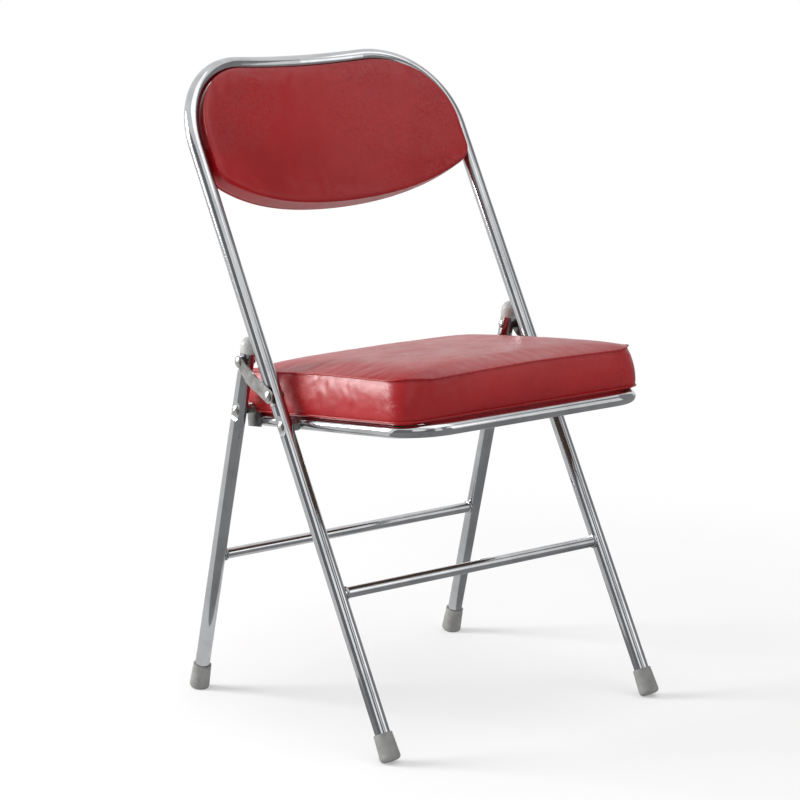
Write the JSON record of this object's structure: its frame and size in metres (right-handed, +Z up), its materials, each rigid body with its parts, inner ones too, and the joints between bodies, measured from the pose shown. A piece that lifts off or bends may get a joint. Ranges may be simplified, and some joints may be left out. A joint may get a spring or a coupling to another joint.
{
  "type": "folding banquet chair",
  "caption": "Folding chair with a bowed chromed tube hoop, padded vinyl back and seat, tube rear legs, link plates at the sides and rubber feet",
  "frame": {"origin": "on the floor, under the middle of the open chair's box", "axes": "+Z up, the sitter faces -Y, +X to the sitter's left"},
  "size_m": [0.4602, 0.5004, 0.8094],
  "materials": {
    "chromed_tube": "bright chrome plate on bent steel tube, with dark and bright streaks",
    "red_vinyl": "smooth glossy red vinyl with soft wrinkles",
    "plywood": "bare plywood",
    "grey_rubber": "satin mid grey moulded rubber",
    "pale_plastic": "satin pale grey moulded plastic",
    "black_plastic": "satin black plastic",
    "plated_plate": "zinc plated stamped steel",
    "plated_rivet": "bright plated steel"
  },
  "bodies": {
    "front_frame": {"front_frame": "chromed_tube", "front_stretcher": "chromed_tube", "backrest_pad": "red_vinyl", "backrest_board": "plywood", "backrest_rear_panel": "red_vinyl", "backrest_tabs": "plated_plate", "backrest_screws": "plated_rivet", "front_foot_left": "grey_rubber", "front_foot_right": "grey_rubber", "link_pivot_rivets": "plated_rivet", "link_pivot_washers": "black_plastic", "seat_pivot_rivets": "plated_rivet", "seat_pivot_spacers": "plated_plate"},
    "seat": {"seat_frame": "chromed_tube", "seat_ear_left": "plated_plate", "seat_ear_right": "plated_plate", "seat_board": "plywood", "seat_cushion": "red_vinyl", "seat_tabs": "plated_plate", "seat_screws": "plated_rivet", "leg_pivot_rivets": "plated_rivet", "leg_pivot_spacers": "plated_plate"},
    "rear_legs": {"rear_leg_left": "chromed_tube", "rear_leg_right": "chromed_tube", "rear_stretcher": "chromed_tube", "rear_cap_left": "pale_plastic", "rear_cap_right": "pale_plastic", "rear_foot_left": "grey_rubber", "rear_foot_right": "grey_rubber", "leg_rivet_tails": "plated_rivet", "leg_washers": "black_plastic"},
    "link_left": {"link_left": "plated_plate", "link_rivet_left": "plated_rivet"},
    "link_right": {"link_right": "plated_plate", "link_rivet_right": "plated_rivet"}
  },
  "joints": [
    {"name": "seat_fold", "type": "hinge", "parent": "front_frame", "child": "seat", "pos_m": [0, -0.01881, 0.37935], "axis": [-1, 0, 0], "range_deg": [0, 109.2]},
    {"name": "rear_leg_fold", "type": "hinge", "parent": "seat", "child": "rear_legs", "pos_m": [0, 0.07599, 0.38455], "axis": [-1, 0, 0], "range_deg": [-66.61, 0]},
    {"name": "link_left_turn", "type": "hinge", "parent": "front_frame", "child": "link_left", "pos_m": [0.225, 0.00051, 0.41435], "axis": [-1, 0, 0], "range_deg": [0, 132.29]},
    {"name": "link_right_turn", "type": "hinge", "parent": "front_frame", "child": "link_right", "pos_m": [-0.225, 0.00051, 0.41435], "axis": [-1, 0, 0], "range_deg": [0, 132.29]}
  ],
  "couplings": [
    {"joint": "rear_leg_fold", "follows": "seat_fold", "ratio": -0.60989},
    {"joint": "link_left_turn", "follows": "seat_fold", "ratio": 1.2113},
    {"joint": "link_right_turn", "follows": "seat_fold", "ratio": 1.2113}
  ]
}
